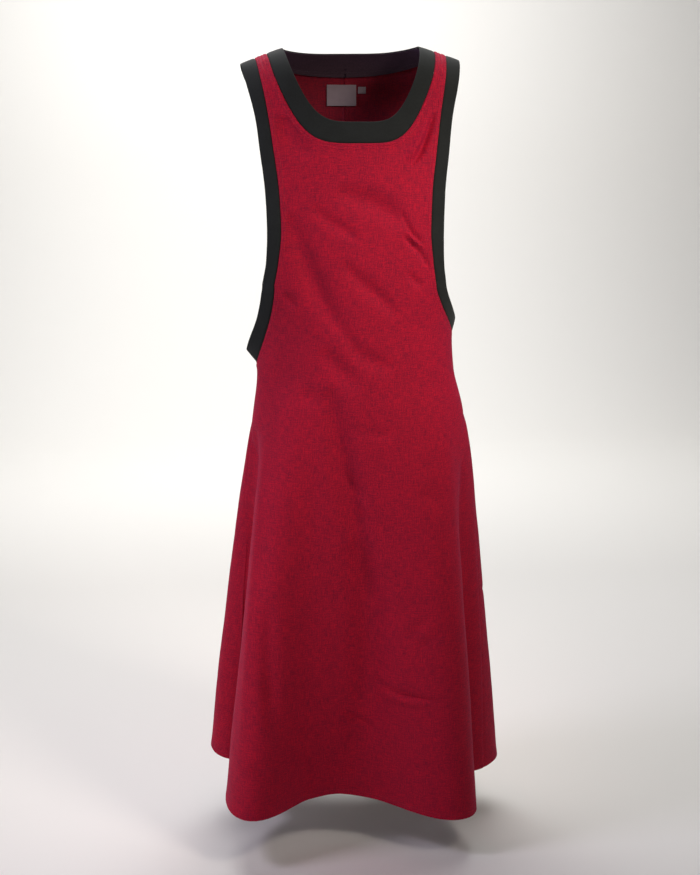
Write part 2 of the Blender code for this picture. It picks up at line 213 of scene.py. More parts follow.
def armhole_edge(side, part, t, front):
    sign = SIDES[side]

    def straight_angle(height):
        reached = 0.0 if front else smooth(height, 0.0, ARMHOLE_INSET_AT)
        half_width = read(ARMHOLE_EDGE, part, height) - ARMHOLE_BACK_INSET * reached
        return angle_at(sign * half_width, height)

    height = ARMHOLE_TURN * np.minimum(t / TURN_AT, 1.0) ** ARMHOLE_CROWDING
    corner = math.radians(90) * np.clip((t - TURN_AT) / (1 - TURN_AT), 0.0, 1.0)
    turned = 1 - np.maximum(np.cos(corner), 0.0) ** (2 / ARMHOLE_POWER)
    bottom = ARMHOLE_BOTTOM[side] + (ARMHOLE_BAND_WIDTH if part == "free" else 0.0)
    low = ARMHOLE_TURN + (bottom - ARMHOLE_TURN) * np.sin(corner) ** (2 / ARMHOLE_POWER)
    start = straight_angle(np.array([ARMHOLE_TURN]))[0]
    angle = np.where(t <= TURN_AT, straight_angle(height),
                     start + (sign * math.radians(90) - start) * turned)
    return np.stack((angle, np.where(t <= TURN_AT, height, low)), axis=-1)


def to_back(places, sign):
    """The same places on the other side of the shoulder line; the middle of the back is +-180."""
    back = places.copy()
    back[..., 0] = sign * (math.pi - np.abs(places[..., 0]))
    return back


def on_side(places, side, front):
    return places if front else to_back(places, SIDES[side])


# The seams as dense lines of points, to measure from.
SEAM_POINTS = 900
LONG_SEAM_POINTS = 1500
HEM_POINTS = 2400
SHOULDER_POINTS = 60
ALONG = np.linspace(0.0, 1.0, SEAM_POINTS)


def seam_line(edge, side, front):
    return form_points(*on_side(edge(side, "seam", ALONG, front), side, front).T)


def line_down(angle, top, points):
    """The line down the form at one angle, from a height to the hem."""
    bottom = float(hem_height(np.array([angle]))[0])
    return form_points(np.full(points, angle), np.linspace(top, bottom, points))


NECK_SEAMS, ARMHOLE_SEAMS = ([seam_line(edge, side, front) for side in SIDES for front in (True, False)]
                             for edge in (neck_edge, armhole_edge))
ROUND = np.radians(np.linspace(-180.0, 180.0, HEM_POINTS))
HEM_LINE = form_points(ROUND, hem_height(ROUND))
SIDE_SEAMS = [line_down(sign * math.pi / 2, ARMHOLE_BOTTOM[side], SEAM_POINTS)
              for side, sign in SIDES.items()]
BACK_SEAM = line_down(math.pi, -NECK[False].seam, LONG_SEAM_POINTS)
SHOULDER_SEAMS = []
for sign in SIDES.values():
    x = sign * np.linspace(NECK_SEAM_X, ARMHOLE_EDGE[0].seam, SHOULDER_POINTS)
    SHOULDER_SEAMS.append(form_points(angle_at(x, np.zeros_like(x)), np.zeros_like(x)))


def tree_of(*lines):
    points = np.concatenate(lines)
    tree = kdtree.KDTree(len(points))
    for i, point in enumerate(points):
        tree.insert(point, i)
    tree.balance()
    return tree


BANDED = tree_of(*NECK_SEAMS)
ARMHOLED = tree_of(*ARMHOLE_SEAMS)
HEMMED = tree_of(HEM_LINE)
PRESSED_OPEN = tree_of(*SIDE_SEAMS, BACK_SEAM, *SHOULDER_SEAMS)
MIDDLE_BACK = tree_of(BACK_SEAM)


def distance_to(tree, points):
    found = [tree.find(point)[2] for point in points.reshape(-1, 3)]
    return np.array(found).reshape(points.shape[:-1])


# Creases, each listed by places down its middle as (degrees round the body, metres under
# the shoulder line), its half width and depth in metres; a depth above 0 is a ridge.
Crease = namedtuple("Crease", "name width depth places")
CREASES = (
    Crease("hollow by the right neck corner", 0.0160, -0.0085,
           ((-35.5, -0.118), (-34.5, -0.144), (-29.0, -0.168), (-20.5, -0.180))),
    Crease("drag from the left strap", 0.0060, -0.0082,
           ((41.5, -0.110), (38.5, -0.132), (36.0, -0.154), (33.5, -0.172), (30.0, -0.188),
            (26.0, -0.202))),
    Crease("ridge beside it", 0.0064, 0.0052,
           ((36.5, -0.122), (33.5, -0.142), (31.0, -0.160), (27.5, -0.176), (24.0, -0.190))),
    Crease("hollow under the chest", 0.0190, -0.0090,
           ((-10.0, -0.240), (-0.5, -0.252), (9.0, -0.264), (17.0, -0.280), (22.5, -0.304))),
    Crease("drag to the left armhole, upper", 0.0056, -0.0046,
           ((22.5, -0.274), (24.5, -0.292), (27.5, -0.308), (31.0, -0.320), (36.0, -0.330))),
    Crease("ridge between the drags", 0.0040, 0.0032,
           ((24.0, -0.306), (27.5, -0.318), (31.0, -0.328), (35.5, -0.338))),
    Crease("drag to the left armhole, lower", 0.0054, -0.0048,
           ((23.5, -0.316), (27.0, -0.328), (31.0, -0.339), (36.5, -0.350))),
    Crease("pull at the left armhole", 0.0052, -0.0032,
           ((32.0, -0.344), (36.0, -0.356), (40.5, -0.372))),
    Crease("soft line over the bust", 0.0100, -0.0052,
           ((-21.5, -0.266), (-17.0, -0.282), (-11.0, -0.300), (-4.0, -0.310), (1.5, -0.326))),
    Crease("hollow down to the middle", 0.0200, -0.0125,
           ((-35.5, -0.280), (-31.5, -0.314), (-28.5, -0.340), (-27.0, -0.366), (-25.0, -0.392),
            (-21.5, -0.418), (-17.0, -0.440), (-11.5, -0.460), (-7.5, -0.484))),
    Crease("soft line over the waist", 0.0125, -0.0068,
           ((-7.5, -0.360), (-1.0, -0.384), (6.0, -0.406), (15.0, -0.430), (22.0, -0.454))),
    Crease("small line by the left armhole", 0.0074, -0.0036,
           ((26.5, -0.378), (31.5, -0.394), (37.0, -0.402))),
    Crease("small dent by the right armhole", 0.0084, -0.0040,
           ((-42.0, -0.412), (-38.5, -0.426), (-34.0, -0.428))),
    Crease("waist hollow, middle", 0.0160, -0.0066,
           ((-22.0, -0.510), (-15.0, -0.532), (-7.0, -0.556), (2.0, -0.574))),
    Crease("waist hollow, left", 0.0120, -0.0060,
           ((-5.0, -0.508), (2.5, -0.520), (11.5, -0.534), (21.0, -0.542))),
    Crease("waist hollow, high", 0.0125, -0.0046,
           ((-8.5, -0.474), (-4.5, -0.494), (1.0, -0.516))),
    Crease("hip hollow", 0.0130, -0.0044,
           ((-35.0, -0.588), (-28.5, -0.594), (-21.0, -0.600))),
    Crease("fold down the middle", 0.0210, -0.0165,
           ((-17.5, -0.574), (-14.5, -0.620), (-11.0, -0.666), (-7.5, -0.704), (-4.5, -0.750),
            (-1.5, -0.800), (1.0, -0.854), (4.0, -0.910), (5.5, -0.966))),
    Crease("foot of that fold", 0.0330, -0.0215,
           ((-3.5, -0.854), (1.0, -0.910), (4.5, -0.976), (5.5, -1.052), (4.0, -1.128),
            (1.0, -1.208), (-1.5, -1.308))),
    Crease("hip line", 0.0058, -0.0030,
           ((-7.0, -0.650), (2.0, -0.652), (10.5, -0.658), (19.5, -0.660))),
    Crease("knee hollow", 0.0085, -0.0030,
           ((-8.0, -0.726), (-4.5, -0.740), (-1.0, -0.754), (3.0, -0.772))),
    Crease("ridge of the knee line", 0.0055, 0.0032,
           ((1.0, -0.772), (3.5, -0.788), (6.5, -0.804))),
    Crease("knee dent, left", 0.0130, -0.0034,
           ((28.0, -0.760), (33.5, -0.772), (39.5, -0.782))),
    Crease("upper hem line", 0.0046, -0.0046,
           ((6.0, -1.108), (11.5, -1.122), (16.5, -1.132), (22.0, -1.134), (28.0, -1.134),
            (34.0, -1.140))),
    Crease("ridge under it", 0.0066, 0.0034,
           ((9.0, -1.128), (14.5, -1.140), (20.5, -1.144), (27.5, -1.146))),
    Crease("lower hem line", 0.0054, -0.0046,
           ((-6.0, -1.172), (-2.5, -1.186), (1.5, -1.196), (7.5, -1.208))),
    Crease("low line", 0.0085, -0.0028,
           ((19.0, -1.028), (24.0, -1.004), (28.5, -0.982))),
    Crease("low line, under it", 0.0085, -0.0026,
           ((23.5, -1.044), (28.0, -1.028), (33.5, -1.014))),
    Crease("low dent, right", 0.0120, -0.0034,
           ((-38.0, -1.076), (-35.0, -1.102), (-35.5, -1.130))),
    Crease("hem dent, right", 0.0065, -0.0034,
           ((-40.5, -1.236), (-37.5, -1.246), (-35.5, -1.266))),
    Crease("ridge beside the front, right", 0.0160, 0.0050,
           ((-57.5, -0.692), (-53.0, -0.776), (-49.0, -0.880), (-46.5, -0.982), (-45.5, -1.088),
            (-44.5, -1.194), (-43.0, -1.280))),
    Crease("foot of the right ridge", 0.0170, -0.0085,
           ((-38.5, -0.944), (-37.5, -1.014), (-35.5, -1.102), (-34.0, -1.194))),
    # the sides and back, which have the like
    Crease("back waist, right", 0.0150, -0.0045,
           ((-150.0, -0.440), (-158.0, -0.462), (-167.0, -0.474), (-176.0, -0.478))),
    Crease("back waist, left", 0.0130, -0.0039,
           ((147.0, -0.410), (156.0, -0.436), (165.0, -0.452))),
    Crease("back drag to the right armhole", 0.0060, -0.0036,
           ((-160.0, -0.270), (-154.0, -0.292), (-148.0, -0.312), (-143.0, -0.326))),
    Crease("back drag to the left armhole", 0.0060, -0.0033,
           ((163.0, -0.236), (157.0, -0.256), (150.0, -0.270), (143.0, -0.280))),
    Crease("across the shoulder blades", 0.0180, -0.0039,
           ((-163.0, -0.150), (-176.0, -0.164), (172.0, -0.166), (161.0, -0.156))),
    Crease("back hollow to the middle", 0.0220, -0.0075,
           ((150.0, -0.500), (159.0, -0.545), (168.0, -0.600), (174.0, -0.680), (176.0, -0.780))),
    Crease("back hip line", 0.0070, -0.0024,
           ((-140.0, -0.700), (-150.0, -0.716), (-160.0, -0.722), (-170.0, -0.720))),
    Crease("back hem line", 0.0050, -0.0027,
           ((128.0, -1.120), (138.0, -1.138), (150.0, -1.150), (160.0, -1.152))),
    Crease("back hem line, right", 0.0050, -0.0024,
           ((-132.0, -1.010), (-142.0, -1.030), (-153.0, -1.040))),
    Crease("right flank line", 0.0080, -0.0030,
           ((-98.0, -0.640), (-92.0, -0.672), (-84.0, -0.700), (-74.0, -0.716))),
    Crease("left flank line", 0.0080, -0.0030,
           ((100.0, -0.600), (92.0, -0.636), (82.0, -0.660), (70.0, -0.672))),
    Crease("left flank line, low", 0.0060, -0.0024,
           ((112.0, -0.960), (104.0, -0.984), (95.0, -0.996))),
    Crease("valley beside the front, right", 0.0300, -0.0170,
           ((-76.0, -0.660), (-77.0, -0.760), (-77.0, -0.860), (-77.0, -0.960))),
    Crease("foot of that valley", 0.0480, -0.0340,
           ((-78.0, -0.800), (-78.5, -0.906), (-78.0, -1.022), (-77.0, -1.130), (-76.0, -1.240),
            (-75.0, -1.330))),
    Crease("valley beside the front, left", 0.0180, -0.0090,
           ((66.0, -0.720), (64.0, -0.840), (63.0, -0.968), (62.0, -1.110), (61.0, -1.238))),
)
CREASE_POINTS = 90             # along each crease
CREASE_REACH = 3               # it is felt this many half widths away
CREASE_TAPER = 0.6             # power by which it dies away at its ends,
CREASE_TIP = 0.55              # where a crease of a panel narrows to this share of its width


def crease_line(crease):
    """Points down the middle of a crease, on a smooth curve through its places."""
    degrees = np.unwrap(np.radians([place[0] for place in crease.places]))
    heights = np.array([place[1] for place in crease.places])
    knots = np.linspace(0.0, 1.0, len(heights))
    share = np.linspace(0.0, 1.0, CREASE_POINTS)
    order = min(3, len(heights) - 1)
    angle = np.polyval(np.polyfit(knots, degrees, order), share)
    height = np.polyval(np.polyfit(knots, heights, order), share)
    return form_points(angle, height)


def creased(points, creases, tip):
    """How far creases move points of the form outwards; tip is the share of width at their ends."""
    flat = points.reshape(-1, 3)
    moved = np.zeros(len(flat))
    for crease in creases:
        line = crease_line(crease)
        reach = CREASE_REACH * crease.width
        near = np.flatnonzero(((flat > line.min(0) - reach) & (flat < line.max(0) + reach)).all(axis=1))
        if not len(near):
            continue
        away = np.linalg.norm(flat[near, None] - line[None], axis=2)
        share = away.argmin(axis=1) / (CREASE_POINTS - 1)
        taper = np.sin(math.pi * share) ** CREASE_TAPER
        width = crease.width * (tip + (1 - tip) * taper)
        moved[near] += crease.depth * taper * bump(away.min(axis=1), width)
    return moved.reshape(points.shape[:-1])


# Uneven hang of the cloth: size of the waves in metres, how far they move it, and their seed.
UNEVEN = ((0.210, 0.0022, 3.1), (0.085, 0.0009, 11.7), (0.030, 0.00025, 23.9))


def waves(points, size, seed=0.0):
    """Smooth noise at points, in waves of about this size."""
    offset = Vector((seed, seed, seed))
    found = [noise.noise(Vector(point) / size + offset) for point in points.reshape(-1, 3)]
    return np.array(found).reshape(points.shape[:-1])


def uneven(points):
    return sum(depth * waves(points, size, seed) for size, depth, seed in UNEVEN)


ALLOWANCE = 0.0095             # width of the seam allowance that lies under the cloth
ALLOWANCE_RISE = 0.0006        # it lifts the cloth this much,
ALLOWANCE_FOOT = 0.0015        # within this much of the seam,
ALLOWANCE_END = (ALLOWANCE + 0.0012, ALLOWANCE - 0.0008)   # and ends between these
SEAM_DIP = 0.0007              # depth and half width of the dip at a bound seam
SEAM_DIP_WIDTH = 0.0010
NECK_STITCH = (0.0065,)        # lines of topstitching, by their distance from the seam
ARMHOLE_STITCH = (0.0028, 0.0085)
HEM_STITCH = 0.0090            # the hem is turned twice, and stitched this far up
HEM_RISE = 0.0004              # its turns lift the cloth this much, up to between these
HEM_END = (HEM_STITCH + 0.002, HEM_STITCH - 0.001)
DITCH = 0.0006                 # a line of stitches draws the cloth in this much
DITCH_WIDTH = 0.0012
OPEN_DIP = 0.0009              # depth and half width of the dip at a seam pressed open
OPEN_DIP_WIDTH = 0.0016
CREASES_END = 0.012            # creases die away within this much of a bound edge
PUCKER = 0.00075               # the cloth puckers this much beside stitching,
PUCKER_SIZE = 0.0085           # in waves of about this size
Pucker = namedtuple("Pucker", "share away width")
PUCKERS = (
    Pucker(1.0, 0.005, 0.007),         # beside the neck band,
    Pucker(1.0, 0.006, 0.008),         # the armhole bands,
    Pucker(0.8, HEM_STITCH, 0.010),    # the hem's stitches
    Pucker(0.5, 0.0, 0.008),           # and the seams pressed open
)


def topstitched(distance, lines):
    """Relief of the cloth beside a seam whose allowances are stitched down under it."""
    relief = ALLOWANCE_RISE * smooth(distance, 0.0, ALLOWANCE_FOOT) * smooth(distance, *ALLOWANCE_END)
    relief = relief - SEAM_DIP * bump(distance, SEAM_DIP_WIDTH)
    for line in lines:
        relief = relief - DITCH * bump(distance - line, DITCH_WIDTH)
    return relief


def panel_relief(points):
    """How far the cloth of a panel stands off the form, at points of the form."""
    neck, armhole, hem, opened = (distance_to(tree, points)
                                  for tree in (BANDED, ARMHOLED, HEMMED, PRESSED_OPEN))
    beside = np.maximum.reduce([pucker.share * bump(distance - pucker.away, pucker.width)
                                for pucker, distance in zip(PUCKERS, (neck, armhole, hem, opened))])
    relief = creased(points, CREASES, CREASE_TIP) * smooth(np.minimum(neck, armhole), 0.0, CREASES_END)
    relief = relief + uneven(points)
    relief = relief + topstitched(neck, NECK_STITCH) + topstitched(armhole, ARMHOLE_STITCH)
    relief = relief + PUCKER * waves(points, PUCKER_SIZE) * beside
    relief = relief - OPEN_DIP * bump(opened, OPEN_DIP_WIDTH) + HEM_RISE * smooth(hem, *HEM_END)
    return relief - DITCH * bump(hem - HEM_STITCH, DITCH_WIDTH)


DENSITY = 5                    # the solids' rows are this many times finer here
STRAIGHT_ROWS = 16 * DENSITY
TURN_ROWS = 8 * DENSITY
NECK_ROWS = 12 * DENSITY
MERGE_ROWS = 3 * DENSITY
ROW_CROWDING = 1.5             # rows lie closer together under the neck,
LEVEL_HEIGHT = -0.660          # and run level from here down
SKIRT_ROWS = 112
SKIRT_CROWDING = 0.12          # they lie closer together low in the skirt
FRONT_COLUMNS = 72             # in each half
BACK_COLUMNS = 64
EDGE_CROWDING = 0.35           # columns lie closer together beside the seams
PANEL_WALL = 0.0020            # the solid's wall: the most that the cloth is thick
CANVAS = 0.0013                # one layer


def half_panel(side, columns, front):
    """Places over one half of the front or back, from its outer edge to the middle."""
    armhole = armhole_edge(side, "seam", np.linspace(0, 1, STRAIGHT_ROWS + TURN_ROWS + 1), front)
    merge = np.linspace(0, 1, MERGE_ROWS + 1)[1:, None]
    level = np.array([armhole[-1, 0], LEVEL_HEIGHT])
    outer = np.concatenate((armhole, armhole[-1] + (level - armhole[-1]) * merge))
    neck = neck_edge(side, "seam", np.linspace(0, 1, NECK_ROWS + 1), front)
    below = np.linspace(0, 1, len(outer) - len(neck) + 1)[1:, None] ** ROW_CROWDING
    level = np.array([neck[-1, 0], LEVEL_HEIGHT])
    middle = np.concatenate((neck, neck[-1] + (level - neck[-1]) * below))
    share = np.linspace(0, 1, columns + 1)
    share = (share - EDGE_CROWDING * np.sin(2 * math.pi * share) / (2 * math.pi))[None, :, None]
    grid = on_side(outer[:, None] + (middle - outer)[:, None] * share, side, front)
    top, hem = grid[-1], grid[-1].copy()
    hem[:, 1] = hem_height(hem[:, 0])
    down = np.linspace(0, 1, SKIRT_ROWS + 1)[1:, None, None]
    down = down + SKIRT_CROWDING * np.sin(math.pi * down) ** 2
    return np.concatenate((grid, top + (hem - top) * down))


CHART_STEPS = 48               # in which the cloth is measured across and up


def chart_of(places):
    """Place of the cloth in metres, flat: across from the middle of the front or back, and up."""
    angle, height = places[..., 0].reshape(-1), places[..., 1].reshape(-1)
    share = np.linspace(0, 1, CHART_STEPS)[:, None]
    start = np.where(np.abs(angle) > math.pi / 2, np.copysign(math.pi, angle), 0.0)
    level = np.broadcast_to(height, (CHART_STEPS, len(height)))
    row = form_points(start + (angle - start) * share, level)
    across = np.linalg.norm(np.diff(row, axis=0), axis=2).sum(axis=0) * np.sign(angle)
    rise = height - LEVEL_HEIGHT
    column = form_points(np.broadcast_to(angle, (CHART_STEPS, len(angle))), LEVEL_HEIGHT + rise * share)
    up = np.linalg.norm(np.diff(column, axis=0), axis=2).sum(axis=0) * np.sign(rise)
    return np.stack((across, up), axis=-1)


def deselect():
    for chosen in list(bpy.context.selected_objects):
        chosen.select_set(False)


def lay_cloth(name, places, relief):
    """A grid of cloth, laid on the form with its relief; its UV map is in metres of cloth."""
    deselect()
    rows, columns = places.shape[:2]
    bpy.ops.mesh.primitive_grid_add(x_subdivisions=columns - 1, y_subdivisions=rows - 1, size=1)
    piece = bpy.context.object
    piece.name = piece.data.name = name
    base = form_points(places[..., 0], places[..., 1])
    normals = form_normals(places[..., 0], places[..., 1])
    laid = base + normals * relief(base)[..., None]
    mesh = piece.data
    mesh.vertices.foreach_set("co", laid.reshape(-1))
    chart = chart_of(places)
    while mesh.uv_layers:
        mesh.uv_layers.remove(mesh.uv_layers[0])
    corner = np.zeros(len(mesh.loops), dtype=np.int32)
    mesh.loops.foreach_get("vertex_index", corner)
    mesh.uv_layers.new(name="cloth").data.foreach_set("uv", chart[corner].reshape(-1))
    mesh.update()
    middle = mesh.polygons[len(mesh.polygons) // 2]
    if middle.normal.dot(Vector(normals.reshape(-1, 3)[middle.vertices[0]])) < 0:
        mesh.flip_normals()
    return piece


MERGE_DISTANCE = 0.00002       # points of two halves closer than this are one


def join(parts, name):
    """Joins halves of a piece into one and merges the points that they share."""
    deselect()
    for part in parts:
        part.select_set(True)
    whole = bpy.context.view_layer.objects.active = parts[0]
    bpy.ops.object.join()
    whole.name = whole.data.name = name
    bpy.ops.object.mode_set(mode="EDIT")
    bpy.ops.mesh.select_all(action="SELECT")
    bpy.ops.mesh.remove_doubles(threshold=MERGE_DISTANCE)
    bpy.ops.object.mode_set(mode="OBJECT")
    return whole


def thicken(piece, wall, share_of):
    """Gives cloth its thickness inwards: the wall times a share, worked out from the points."""
    points = np.zeros(len(piece.data.vertices) * 3)
    piece.data.vertices.foreach_get("co", points)
    group = piece.vertex_groups.new(name="thickness")
    shares = np.round(share_of(points.reshape(-1, 3)), 3)
    for share in np.unique(shares):
        group.add(np.flatnonzero(shares == share).tolist(), float(share), "REPLACE")
    solid = piece.modifiers.new("thickness", "SOLIDIFY")
    solid.thickness = wall
    solid.offset = -1.0
    solid.vertex_group = group.name
    bpy.context.view_layer.objects.active = piece
    outer = len(piece.data.vertices)
    bpy.ops.object.modifier_apply(modifier=solid.name)
    piece.vertex_groups.clear()
    inside = np.arange(len(piece.data.vertices)) >= outer
    # The inner faces are marked, so that the canvas can darken them as painted shade.
    mark = piece.data.attributes.new("inside", "FLOAT", "POINT")
    mark.data.foreach_set("value", inside.astype(np.float32))


SMOOTH_UNDER = math.radians(50)        # sharper edges stay sharp


def finish_cloth(piece, material, slot, *nodes):
    piece.data.materials.clear()
    piece.data.materials.append(material)
    deselect()
    piece.select_set(True)
    bpy.context.view_layer.objects.active = piece
    bpy.ops.object.shade_smooth_by_angle(angle=SMOOTH_UNDER)
    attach(piece, "root")
    if nodes:
        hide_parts(*nodes)


def linear(code):
    """An sRGB hex colour as linear RGBA."""
    parts = [int(code[i:i + 2], 16) / 255 for i in (1, 3, 5)]
    return (*[c / 12.92 if c <= 0.04045 else ((c + 0.055) / 1.055) ** 2.4 for c in parts], 1.0)


def fill(tree, node, inputs):
    """Gives inputs of a shader node their values or links."""
    for key, value in inputs.items():
        if isinstance(value, bpy.types.NodeSocket):
            tree.links.new(value, node.inputs[key])
        else:
            node.inputs[key].default_value = value


def add(tree, kind, inputs, stops=(), **settings):
    """Adds a shader node with its settings, its inputs, and the stops of a ramp of colours."""
    made = tree.nodes.new("ShaderNode" + kind)
    for key, value in settings.items():
        setattr(made, key, value)
    fill(tree, made, inputs)
    for k, (place, code) in enumerate(stops):
        made.color_ramp.elements[k].position = place
        made.color_ramp.elements[k].color = linear(code)
    return made


def new_material(name):
    material = bpy.data.materials.new(name)
    material.use_nodes = True
    return material, material.node_tree, material.node_tree.nodes["Principled BSDF"]


# Cotton canvas, vat dyed and plain woven from two reds, so that it looks speckled close by and
# crimson from afar. Cotton is matt, with a faint violet bloom where it turns away.
BRIGHT_YARN = "#C2102F"
DARK_YARN = "#7D0A2C"
INSIDE_PAINTED_SHADE = 0.62           # the inner faces are darkened by this share: painted shade inside the surcoat
THREAD_PITCH = 0.0011          # drawn at twice its real 0.55 mm, to show at all
SLUB_WIDTH = 0.0018            # thick places in the yarn,
SLUB_LENGTH = 0.0160           # drawn longer and wider than real too
SPECKS = 420.0                 # in a metre: ends of fibre, drawn 2.4 mm across
PATCHES = 26.0                 # in a metre: where the dye took unevenly, 40 mm across
canvas, tree, shader = new_material("crimson cotton canvas")
cloth_uv = add(tree, "UVMap", {}, uv_map="cloth").outputs["UV"]
check = add(tree, "TexChecker", {"Vector": cloth_uv, "Scale": 1 / THREAD_PITCH}).outputs["Fac"]
slubs = []
for scale in ((1 / SLUB_WIDTH, 1 / SLUB_LENGTH, 1.0), (1 / SLUB_LENGTH, 1 / SLUB_WIDTH, 1.0)):
    along_yarn = add(tree, "Mapping", {"Vector": cloth_uv, "Scale": scale}).outputs["Vector"]
    slubs.append(add(tree, "TexNoise", {"Vector": along_yarn, "Scale": 1.0, "Detail": 2.0}).outputs["Fac"])
specks = add(tree, "TexNoise", {"Vector": cloth_uv, "Scale": SPECKS, "Detail": 1.0}).outputs["Fac"]
patches = add(tree, "TexNoise", {"Vector": cloth_uv, "Scale": PATCHES, "Detail": 3.0}).outputs["Fac"]
yarns = add(tree, "Math", {0: slubs[0], 1: slubs[1]}, operation="ADD").outputs[0]
yarns = add(tree, "Math", {0: yarns, 1: specks}, operation="ADD").outputs[0]
yarns = add(tree, "MapRange", {"Value": yarns, "From Min": 1.15, "From Max": 1.85}).outputs[0]
mixed = add(tree, "Mix", {"Factor": 0.25, 2: yarns, 3: check}, data_type="FLOAT").outputs[0]
mixed = add(tree, "Mix", {"Factor": 0.22, 2: mixed, 3: patches}, data_type="FLOAT").outputs[0]
colour = add(tree, "ValToRGB", {"Fac": mixed}, ((0.20, DARK_YARN), (0.80, BRIGHT_YARN)))
grain = add(tree, "Mix", {"Factor": 0.5, 2: yarns, 3: check}, data_type="FLOAT").outputs[0]
raised = add(tree, "Bump", {"Height": grain, "Strength": 0.35, "Distance": 0.0004}).outputs[0]
# Painted shade: the inner faces are mixed towards black, standing in for the shadow inside the surcoat.
inside = add(tree, "Attribute", {}, attribute_name="inside").outputs["Fac"]
inside_shade = add(tree, "Math", {0: inside, 1: INSIDE_PAINTED_SHADE}, operation="MULTIPLY").outputs[0]
shown = add(tree, "Mix", {"Factor": inside_shade, 6: colour.outputs["Color"], 7: linear("#000000")},
            data_type="RGBA")
fill(tree, shader, {"Base Color": shown.outputs[2], "Normal": raised, "Roughness": 0.82,
                    "Specular IOR Level": 0.20, "Sheen Weight": 0.05, "Sheen Roughness": 0.45,
                    "Sheen Tint": linear("#B000E0")})


BACK_ALLOWANCE = 0.0072        # beside the seam down the middle of the back
STEP_IN = 0.001                # an allowance ends within this much


def canvas_share(points):
    """Share of the wall that the cloth fills: all of it over the turned hem and seam allowances."""
    doubled = [smooth(distance_to(tree, points), width + STEP_IN, width)
               for tree, width in ((HEMMED, HEM_STITCH), (BANDED, ALLOWANCE), (ARMHOLED, ALLOWANCE),
                                   (MIDDLE_BACK, BACK_ALLOWANCE))]
    doubled[-1] *= points[:, 0] > 0        # pressed to the wearer's left
    thin = CANVAS / PANEL_WALL
    return thin + (1 - thin) * np.maximum.reduce(doubled)


halves = [lay_cloth("front_cloth_" + side, half_panel(side, FRONT_COLUMNS, True), panel_relief)
          for side in SIDES]
front = join(halves, "front_cloth")
thicken(front, PANEL_WALL, canvas_share)
finish_cloth(front, canvas, "crimson_cotton", "front_panel")

backs = {}
for side in SIDES:
    backs[side] = lay_cloth("back_cloth_" + side, half_panel(side, BACK_COLUMNS, False), panel_relief)
    thicken(backs[side], PANEL_WALL, canvas_share)
    finish_cloth(backs[side], canvas, "crimson_cotton", "back_panel_" + side)

# ====================================================================== neck band
# Black cotton twill, doubled: a shaped strip 28 to 34 mm wide whose folded edge is the neck. It is
# sewn to the panels right sides together, its allowances pressed under the red and stitched down.
# The front and back strips meet in a seam on each shoulder.
BAND_WALL = 0.0026             # four layers where the allowances lie, fewer past them
BAND_UNDER = 0.0002            # the band lies this far under the red
BAND_COLUMNS = (0.0, 0.0006, 0.0013, 0.0024, 0.004)     # from the seam, in metres,
BAND_MIDDLE_COLUMNS = 7
BAND_EDGE_COLUMNS = (0.004, 0.0026, 0.0016, 0.0009, 0.0004, 0.0001)   # and from the folded edge
BAND_ROUND = 0.0015            # radius of that folded edge
BAND_LENGTH_ROWS = 150
BAND_ALONG = np.linspace(0, 1, BAND_LENGTH_ROWS + 1)
BAND_DITCH = 0.0014            # depth and half width of the dip beside the red
BAND_DITCH_WIDTH = 0.0015
JOINT_DIP = 0.0007             # depth and half width of the dip at a seam between two strips
JOINT_DIP_WIDTH = 0.0016
BAND_PUFF = 0.0005             # doubled cloth stands fuller between its edges,
BAND_PUFF_POWER = 0.7          # over nearly all of its width
BAND_CREASED = 0.6             # a band takes this share of the panels' creases
FOLD_LEFT = 0.06               # least share of the wall, right at the fold


def band_places(edge, side, front, width):
    """Places over a strip of band, closer together at its seam and at its folded edge, and how
    far they lie from the seam."""
    seam, free = (edge(side, part, BAND_ALONG, front) for part in ("seam", "free"))
    middle = np.linspace(BAND_COLUMNS[-1], width - BAND_EDGE_COLUMNS[0], BAND_MIDDLE_COLUMNS + 2)
    across = np.concatenate((BAND_COLUMNS, middle[1:-1], width - np.array(BAND_EDGE_COLUMNS)))
    places = seam[:, None] + (free - seam)[:, None] * (across / width)[None, :, None]
    return on_side(places, side, front), across


def fold_over(away):
    """Share of the wall left at a distance from a folded edge, whose section is a half circle."""
    return np.sqrt(1 - np.clip(1 - away / BAND_ROUND, 0.0, 1.0) ** 2)


def lay_band(name, places, across, width, kick, joints):
    """A strip of band on the form, fuller in the middle and rounded at its folded edge. It dips
    at its joints, which are at its start, at its end, or both."""
    left = fold_over(width - across)[None, :]
    seam = form_points(places[:, 0, 0], places[:, 0, 1])
    run = np.concatenate(((0.0,), np.cumsum(np.linalg.norm(np.diff(seam, axis=0), axis=1))))
    dip = joints[0] * bump(run, JOINT_DIP_WIDTH) + joints[1] * bump(run[-1] - run, JOINT_DIP_WIDTH)
    profile = BAND_PUFF * np.sin(math.pi * across / width) ** BAND_PUFF_POWER - BAND_UNDER
    profile = profile - BAND_DITCH * bump(across, BAND_DITCH_WIDTH)

    def relief(points):
        drop = profile[None, :] - BAND_WALL / 2 * (1 - left)
        drop = drop - JOINT_DIP * dip[:, None] + kick
        return (drop + BAND_CREASED * creased(points, CREASES, CREASE_TIP) + uneven(points)
                + creased(points, BAND_CREASES, 1.0))

    piece = lay_cloth(name, places, relief)
    shares = np.maximum(np.broadcast_to(left, places.shape[:2]).reshape(-1), FOLD_LEFT)
    thicken(piece, BAND_WALL, lambda points: shares)
    return piece
